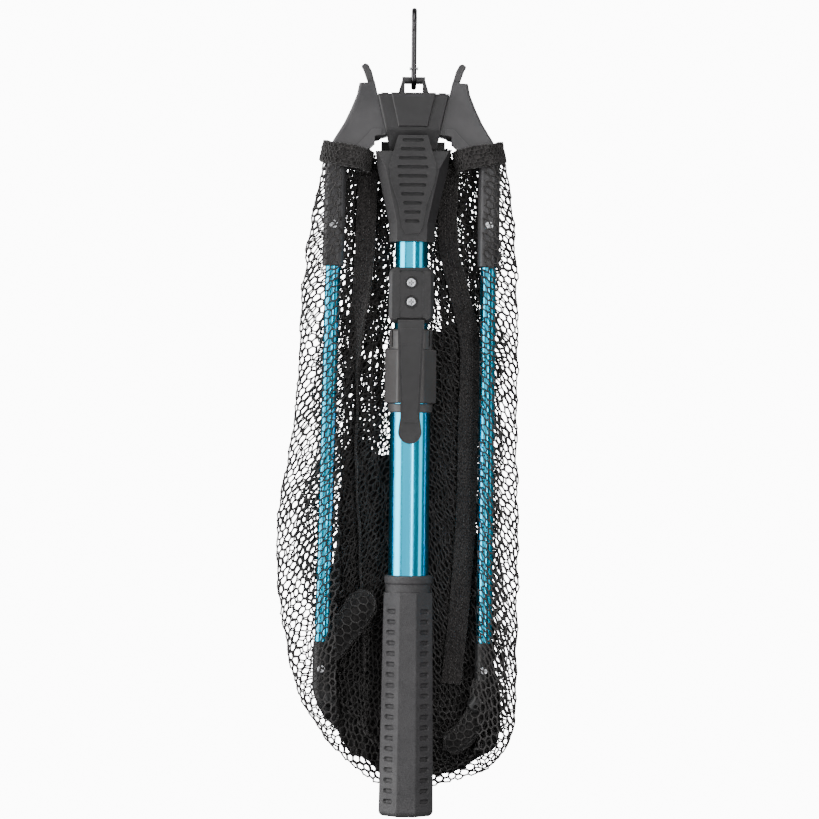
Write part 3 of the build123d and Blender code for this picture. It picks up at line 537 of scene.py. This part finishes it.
class Layer:
    """How one folded layer of netting lies: its fold, its depths and how far it is gathered."""

    def __init__(self, seed, inset=0.0, fold_r=9.0, arm_front=ARM_FRONT_Y, arm_back=ARM_BACK_Y,
                 handle_front=HANDLE_BACK_Y, handle_back=31.0, wall=(46.4, 49.6), loose_top=0.5,
                 loose_foot=0.86, pleat=17.0, pleat_depth=2.6):
        self.seed, self.inset, self.fold_r = seed, inset, fold_r
        self.arm_front, self.arm_back = arm_front, arm_back
        self.handle_front, self.handle_back = handle_front, handle_back
        self.wall = wall
        self.loose_top, self.loose_foot = loose_top, loose_foot
        self.pleat, self.pleat_depth = pleat, pleat_depth


def lay_netting(side, a, b, layer):
    """Places flat netting round the net's outer fold: a > 0 is its front part and a < 0 its back part."""
    sign = side_sign(side)
    edge = Curve(EDGE[side])
    spine = Curve([(sign * x, z) for x, z in SPINE])
    wander = Ripple(layer.seed, 45, 120)
    flutter = Ripple(layer.seed + 50, 15, 32)
    share = b / edge.length
    rim = edge.share(share)
    toward = spine.share(share) - rim
    width = np.linalg.norm(toward, axis=1)
    toward = toward / width[:, None]
    inset = layer.inset * (1 + 0.22 * wander(0 * a, b)) if layer.inset else 0.0
    reach = np.abs(a)
    quarter = layer.fold_r * math.pi / 2
    turn = np.minimum(reach / layer.fold_r, math.pi / 2)
    straight = np.where(reach < quarter, layer.fold_r * (1 - np.cos(turn)), layer.fold_r + reach - quarter)
    to_arm = np.maximum((np.abs(rim[:, 0]) - ARM_INNER_X) / np.maximum(np.abs(toward[:, 0]), 0.4) - inset, 0)
    past = np.maximum(straight - to_arm, 0)
    low_down = smooth_step(-rim[:, 1], 290, 430)
    loose = between(low_down, layer.loose_top, layer.loose_foot)
    phase = math.tau * past / layer.pleat + 1.3 * wander(b * 0.4, b) + np.where(a > 0, 0, 2.1)
    gathered = smooth_step(past, 0, 8) * (1 - loose)
    zigzag = gathered * layer.pleat / math.tau * 1.5 * np.sin(phase)
    inward = np.minimum(straight, to_arm) + loose * past + zigzag
    flat = rim + toward * (inward + inset)[:, None]
    body = smooth_step(inward, 1.0, 14.0)
    edge_sway = 0.5 * flutter(0 * a, b)
    x = flat[:, 0] + body * (1.2 * wander(reach, b) + 0.5 * flutter(a, b)) + (1 - body) * edge_sway
    z = flat[:, 1] + body * (1.3 * wander(b, reach + 40) + 0.5 * flutter(b, a))
    reach_x = np.abs(x)
    beside = smooth_step(reach_x, *layer.wall)
    front_y = between(beside, layer.handle_front, layer.arm_front)
    back_y = between(smooth_step(reach_x, 40, 64), layer.handle_back, layer.arm_back)
    under_hem = between(smooth_step(reach_x, 24, 34), 23.5, 14.4)
    back_y = between(smooth_step(-z, 104, 165), np.minimum(under_hem, back_y), back_y)
    folds = layer.pleat_depth * gathered * (1 - np.cos(phase))
    y = np.where(a > 0, front_y + folds, back_y + folds) * np.sin(turn) + body * 0.5 * flutter(a + 11, b)
    keep = (inward + inset < width) & (share < 1)
    return np.stack([x, y, z], 1), keep


def below_hem(points):
    """True where netting hangs under the hem, or crosses from the hem's inner end to behind the head."""
    reach = np.abs(points[:, 0])
    inside = np.maximum(30 - reach, 0)
    across_top = np.where(points[:, 0] < 0, -98.0, -93.0)
    line = np.minimum(HEM_FOOT_Z + 0.21 * (reach - 29) + 6 * inside, across_top)
    return points[:, 2] < line


SHORTEST_STRAND = 0.5
LONGEST_STRAND = 15.0


def kept_pairs(points, pairs, keep):
    """The strands whose two ends are kept and which aren't stretched out."""
    pairs = pairs[keep[pairs[:, 0]] & keep[pairs[:, 1]]]
    length = np.linalg.norm(points[pairs[:, 0]] - points[pairs[:, 1]], axis=1)
    return pairs[(length < LONGEST_STRAND) & (length > SHORTEST_STRAND)]


def jitter(points, amount, seed):
    random = np.random.default_rng(seed)
    return points + random.normal(0, amount, points.shape) * np.array([1, 0.5, 1])


def blend_netting(piece):
    """Bakes the piece's placement into its mesh."""
    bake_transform(piece)


def finish_netting(piece):
    piece.data.materials.append(THREAD)
    blend_netting(piece)


def inner_layer(seed, inset, pleat):
    return Layer(seed, inset=inset, fold_r=4.0, arm_front=8.6, arm_back=13.0, handle_front=22.6,
                 handle_back=28.8, wall=(46, 62), loose_top=0.42, loose_foot=0.62, pleat=pleat,
                 pleat_depth=1.4)


OUTER = {"left": Layer(3), "right": Layer(8)}
INNER = {"left": inner_layer(21, 20, 13.0), "right": inner_layer(29, 13, 12.0)}
OUTER_WIDTH = 252             # netting across, front and back together
INNER_WIDTH = 200
UNEVEN = 0.24                 # how far the netting's corners stray


def make_layer(side, label, layer, width, sides):
    a, b, pairs = honeycomb(width, Curve(EDGE[side]).length)
    points, keep = lay_netting(side, a, b, layer)
    points = jitter(points, UNEVEN, layer.seed)
    keep &= below_hem(points)
    pairs = kept_pairs(points, pairs, keep)
    in_front = (a[pairs[:, 0]] + a[pairs[:, 1]]) >= 0
    for part, chosen in (("front", in_front), ("back", ~in_front)):
        piece = strands_mesh(f"{side}_{label}_{part}_netting", points, pairs[chosen], sides=sides)
        finish_netting(piece)
        if label == "outer" and part == "front":
            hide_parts(side + "_net_front", side + "_net_bag")


for hand in ("left", "right"):
    make_layer(hand, "outer", OUTER[hand], OUTER_WIDTH, 5)
    make_layer(hand, "inner", INNER[hand], INNER_WIDTH, 4)


# ---- hems, rim bands, rolls and the bunched middle of the net ------------------------------
def skin_faces(rows, around, wrap_rows=False):
    """The four-sided faces of a skin of closed rings."""
    faces = []
    for i in range(rows if wrap_rows else rows - 1):
        for j in range(around):
            k, m = (j + 1) % around, (i + 1) % rows
            faces.append((i * around + j, i * around + k, m * around + k, m * around + j))
    return faces


def slab_piece(name, grid, normals, half_thick):
    """A closed sheet with some thickness, from a grid of middle points."""
    rows, columns = grid.shape[:2]
    points = np.stack([grid - half_thick * normals, grid + half_thick * normals])
    # Each row becomes a ring: along the near face, then back along the far one.
    rings = np.concatenate([points[0], points[1][:, ::-1]], axis=1)
    around = 2 * columns
    faces = skin_faces(rows, around)
    for row, order in ((0, -1), (rows - 1, 1)):
        for j in range(columns - 1):
            a = row * around
            faces.append((a + j, a + around - 1 - j, a + around - 2 - j, a + j + 1)[::order])
    return new_piece(name, rings.reshape(-1, 3), faces, smooth=True)


def grid_normals(grid):
    """Unit normals of a grid of points."""
    return unit(np.cross(np.gradient(grid, axis=1), np.gradient(grid, axis=0)))


HEM_CENTRE_X = 46.4
HEM_CENTRE_Z = -100.6
HEM_TILT = math.radians(12)
HEM_HALF_X = 17.0
HEM_HALF_Y = 13.3
HEM_HALF_HEIGHT = 7.7
HEM_SQUARE = 0.6              # 1 would be an ellipse, and less is squarer
HEM_CELLS = 38                # hexagons of the netting caught over the hem
HEM_CELL_WIDTH = 4.0
HEM_ROW_PITCH = 2.6


def hem_points(side, turn, level, out):
    """Points of the hem, by angle round the wing, level up the tape and distance out from it."""
    cos, sin = np.cos(turn), np.sin(turn)
    x = np.sign(cos) * np.abs(cos) ** HEM_SQUARE * (HEM_HALF_X + out)
    y = np.sign(sin) * np.abs(sin) ** HEM_SQUARE * (HEM_HALF_Y + out)
    level = level + 0.45 * np.sin(3 * turn + 1) + 0.3 * np.sin(7 * turn) * np.sign(level)
    reach = HEM_CENTRE_X + x * math.cos(HEM_TILT) - level * math.sin(HEM_TILT)
    z = HEM_CENTRE_Z + x * math.sin(HEM_TILT) + level * math.cos(HEM_TILT)
    return np.stack([side_sign(side) * reach, y, z], -1)


def make_hem(side):
    """The folded tape round each wing that the netting hangs from, with netting caught over it."""
    around, profile = 96, 16
    turn, loop = np.meshgrid(np.arange(around) * math.tau / around, np.arange(profile) * math.tau / profile,
                             indexing="ij")
    level = HEM_HALF_HEIGHT * np.sin(loop)
    pucker = 0.22 * np.sin(turn * 22 + 2 * np.sin(loop)) + 0.15 * np.sin(turn * 9 + 1)
    roll = 0.55 + 0.25 * (np.abs(np.sin(loop)) > 0.75)
    out = roll * np.cos(loop) + pucker
    rings = hem_points(side, turn, level, out)
    faces = skin_faces(around, profile, wrap_rows=True)
    hem = new_piece(side + "_hem_tape", rings.reshape(-1, 3), faces, smooth=True)
    hem.data.materials.append(HEM_CLOTH)
    columns = 2 * HEM_CELLS
    a, b, pairs = honeycomb(2 * columns - 2, 2 * HEM_HALF_HEIGHT - 2, HEM_CELL_WIDTH, HEM_ROW_PITCH)
    rows = len(a) // columns
    ends = np.arange(rows) * columns
    pairs = np.vstack([pairs, np.stack([ends + columns - 1, ends], 1)])
    net = hem_points(side, a / (2 * columns) * math.tau, HEM_HALF_HEIGHT - 1 - b, 1.05 + 0 * a)
    net = jitter(net, 0.12, 5)
    over = strands_mesh(side + "_hem_netting", net, pairs, radius=0.36, sides=4)
    over.data.materials.append(THREAD)
    for piece, slot in ((hem, "webbing"), (over, "net_mesh")):
        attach(piece, side + "_arm")
    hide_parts(side + "_net_hem")


# The slack front rim: x outwards, y back and z, with how far the tape has turned edge-on in degrees.
BAND_PATH = {
    "left": [(30.5, 14.6, -104, 8), (32, 17.0, -135, 4), (33.2, 18.0, -170, 10), (35.5, 19.2, -200, 36),
             (37, 21.0, -235, 76), (38, 21.5, -290, 84), (36, 21.5, -350, 84), (33, 21.5, -410, 80),
             (31, 21.5, -462, 74)],
    "right": [(27.5, 15.2, -104, 30), (25.4, 18.4, -135, 26), (26.4, 18.6, -165, 18), (34, 18.3, -196, 8),
              (41.6, 18.2, -232, 2), (41, 18.0, -290, 0), (40.6, 18.0, -345, 2), (36.5, 18.2, -412, 6),
              (31, 18.2, -470, 12)],
}
BAND_WIDTH = 14.0
STITCH_PITCH = 2.1
STITCH_COLUMNS = (6, 10)      # the grid columns of the band that the two seams follow
STITCH_SPAN = (0.12, 0.72)    # where a stitch starts and ends, as shares of the pitch
STITCH_LIFT = 0.72


def band_frame(side):
    """The band's middle line, its across direction and its face direction, by arc length."""
    path = Curve([(side_sign(side) * x, y, z) for x, y, z, _ in BAND_PATH[side]])
    turn = Curve([(x, y, z, twist) for x, y, z, twist in BAND_PATH[side]])
    steps = np.linspace(0, 1, 150)
    middle = path.share(steps)
    twist = np.radians(turn.share(steps)[:, 3])
    along = unit(np.gradient(middle, axis=0))
    face = unit(np.cross(along, np.array([1.0, 0, 0])))
    across = np.cross(face, along)
    across, face = (across * np.cos(twist)[:, None] + face * np.sin(twist)[:, None],
                    face * np.cos(twist)[:, None] - across * np.sin(twist)[:, None])
    return path.length, middle, across, face


def make_rim_band(side):
    """The flat tape of the net's front rim, hanging slack beside the handle."""
    length, middle, across, face = band_frame(side)
    share = np.linspace(-1, 1, 17)
    ripple = Ripple(61 if side == "left" else 66, 40, 90)
    steps = np.arange(len(middle))[:, None] * length / len(middle)
    curl = 0.7 * share[None] ** 2 + 0.35 * ripple(steps, share[None] * 8)
    grid = (middle[:, None] + across[:, None] * (share * BAND_WIDTH / 2)[None, :, None]
            + face[:, None] * curl[:, :, None])
    edge = 0.5 + 0.35 * smooth_step(np.abs(share), 0.80, 0.92) + 0.12 * np.cos(share * math.tau * 2.5)
    band = slab_piece(side + "_rim_tape", grid, grid_normals(grid), edge[None, :, None])
    band.data.materials.append(TAPE_CLOTH)
    count = int(length / STITCH_PITCH)
    rows = []
    normal = grid_normals(grid)
    for column in STITCH_COLUMNS:
        line = Curve(grid[:, column])
        for offset in STITCH_SPAN:
            at = (np.arange(count) + offset) / count
            index = np.clip((at * (len(grid) - 1)).astype(int), 0, len(grid) - 1)
            toward_front = np.where(normal[index, column][:, 1:2] > 0, -1, 1)
            rows.append(line.share(at) + toward_front * normal[index, column] * STITCH_LIFT)
    points = np.vstack(rows)
    pairs = np.vstack([np.stack([np.arange(count) + 2 * k * count, np.arange(count) + (2 * k + 1) * count], 1)
                       for k in range(2)])
    stitches = strands_mesh(side + "_rim_stitches", points, pairs, radius=0.24, knot=0.3)
    stitches.data.materials.append(STITCH)
    for piece in (band, stitches):
        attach(piece, side + "_net")
    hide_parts(side + "_rim_band")


# The rolled rim at each arm's tip, from the arm inwards, as x, y and z.
ROLL_PATH = {
    "left": [(-60, 2, -452), (-54, 4, -444), (-46, 6, -433), (-37, 8, -421), (-30, 9, -412),
             (-25.5, 9, -407)],
    "right": [(54, 0, -462), (52.5, 1, -478), (48.5, 3, -492), (41.5, 6, -503), (33.5, 9, -510),
              (27, 12, -513.5)],
}
ROLL_R = {"left": 11.0, "right": 8.4}
ROLL_NET_COLUMNS = 18
ROLL_NET_ROW = 4.4


def tube_rings(line, radius, steps, around):
    """Rings of points round a line, at the given radius."""
    share = np.linspace(0, 1, steps)
    middle = line.share(share)
    along = unit(np.gradient(middle, axis=0))
    side = unit(np.cross(along, np.array([0, 1.0, 0])))
    other = np.cross(side, along)
    turn = np.arange(around) * math.tau / around
    out = side[:, None] * np.cos(turn)[None, :, None] + other[:, None] * np.sin(turn)[None, :, None]
    return middle[:, None] + np.broadcast_to(radius, (steps, around))[:, :, None] * out


def round_ends(share, length, radius):
    """How wide a roll is along its length: rounded over at both ends."""
    near = np.clip(np.minimum(share, 1 - share) * length / radius, 0, 1)
    return np.sqrt(1 - (1 - near) ** 2)


def make_roll(side):
    """The rolled rim where it leaves the arm's tip, dark, its own black plus painted shade, inside a sleeve
    of netting.
    """
    line = Curve(ROLL_PATH[side])
    full = ROLL_R[side]
    steps, around = 44, 36
    share = np.linspace(0, 1, steps)[:, None]
    turn = np.arange(around)[None] * math.tau / around
    lumps = 0.35 * np.sin(3 * turn + 9 * share) + 0.25 * np.sin(5 * turn - 14 * share)
    rounding = np.maximum(round_ends(share, line.length, full), 0.12)
    outer = tube_rings(line, (full - 0.9 + lumps) * rounding, steps, around)
    # The rolled cloth has a hollow down its middle, open by a pinhole at each end.
    hollow = Curve(line.share(np.linspace(0.05, 0.95, 30)))
    lining = tube_rings(hollow, (full - 2.6) * rounding, steps, around)
    rings = np.vstack([outer, lining[::-1]])
    faces = skin_faces(2 * steps, around, wrap_rows=True)
    core = new_piece(side + "_rim_roll", rings.reshape(-1, 3), faces, smooth=True)
    # Painted shade: the core takes the darkened bunch cloth.
    core.data.materials.append(SHADED_BUNCH_CLOTH)
    columns = ROLL_NET_COLUMNS
    rows = int(line.length / ROLL_NET_ROW)
    r, c = np.meshgrid(np.arange(rows), np.arange(columns), indexing="ij")
    up = (r + c) % 2 == 0
    share = np.clip((r + np.where(up, -1 / 6, 1 / 6)) / (rows - 1), 0.01, 0.99)
    width = full * np.maximum(round_ends(share, line.length, full), 0.15)
    ring_grid = tube_rings(line, 1.0, 200, columns)
    middle = line.share(share.ravel())
    index = (share.ravel() * 199).astype(int)
    out = ring_grid[index, c.ravel()] - line.share(np.linspace(0, 1, 200))[index]
    points = jitter(middle + out * width.ravel()[:, None], 0.2, 12)
    number = np.arange(rows * columns).reshape(rows, columns)
    ring_pairs = np.stack([number.ravel(), np.roll(number, -1, axis=1).ravel()], 1)
    down_pairs = np.stack([number[:-1].ravel(), number[1:].ravel()], 1)[~up[:-1].ravel()]
    pairs = np.vstack([ring_pairs, down_pairs])
    sleeve = strands_mesh(side + "_roll_netting", points, pairs, radius=0.5)
    sleeve.data.materials.append(THREAD)
    for piece in (core, sleeve):
        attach(piece, side + "_arm")


# The bunched middle: the height of its top and of its foot, by distance out from the handle's axis.
BUNCH_TOP = {"left": [(1, -318), (30, -304), (46, -316), (53, -384), (66, -428)],
             "right": [(1, -236), (20, -224), (36, -232), (49, -384), (65, -482)]}
BUNCH_FOOT = {"left": [(1, -538), (14, -537), (43, -513), (62, -482), (66, -460)],
              "right": [(1, -537), (18, -534), (44, -525), (60, -514), (65, -498)]}
BUNCH_PLEAT = 7.5


def make_bunch(side):
    """The tightly pleated depth of the bag, behind the open layers, in cloth darkened with painted shade."""
    top, foot = Curve(BUNCH_TOP[side]), Curve(BUNCH_FOOT[side])
    limit = BUNCH_TOP[side][-1][0]
    sway = Ripple(71 if side == "left" else 75, 12, 50)
    slow = Ripple(81 if side == "left" else 85, 60, 160)
    reach = np.linspace(1, limit, 90)
    top_z = np.interp(reach, top.line[:, 0], top.line[:, 1]) + 5 * sway(reach, 0 * reach)
    foot_z = np.interp(reach, foot.line[:, 0], foot.line[:, 1]) + 2 * sway(reach, 0 * reach + 90)
    share = np.linspace(0, 1, 110)[:, None]
    z = top_z[None] + (foot_z - top_z)[None] * share
    x = reach[None] + 1.2 * slow(reach[None], z)
    beside = smooth_step(x, 46, 62)
    pleats = np.sin(math.tau * (reach[None] + 3 * slow(z, z * 0.3)) / BUNCH_PLEAT)
    y = between(beside, 25.7, 10.9) + 0.9 * pleats + 0.35 * sway(x, z)
    grid = np.stack([side_sign(side) * x, y, z], 2)
    bunch = slab_piece(side + "_bunched_netting", grid, grid_normals(grid), 0.45)
    # Painted shade: the darkened bunch cloth.
    bunch.data.materials.append(SHADED_BUNCH_CLOTH)
    blend_netting(bunch)


for hand in ("left", "right"):
    make_hem(hand)
    make_rim_band(hand)
    make_roll(hand)
    make_bunch(hand)
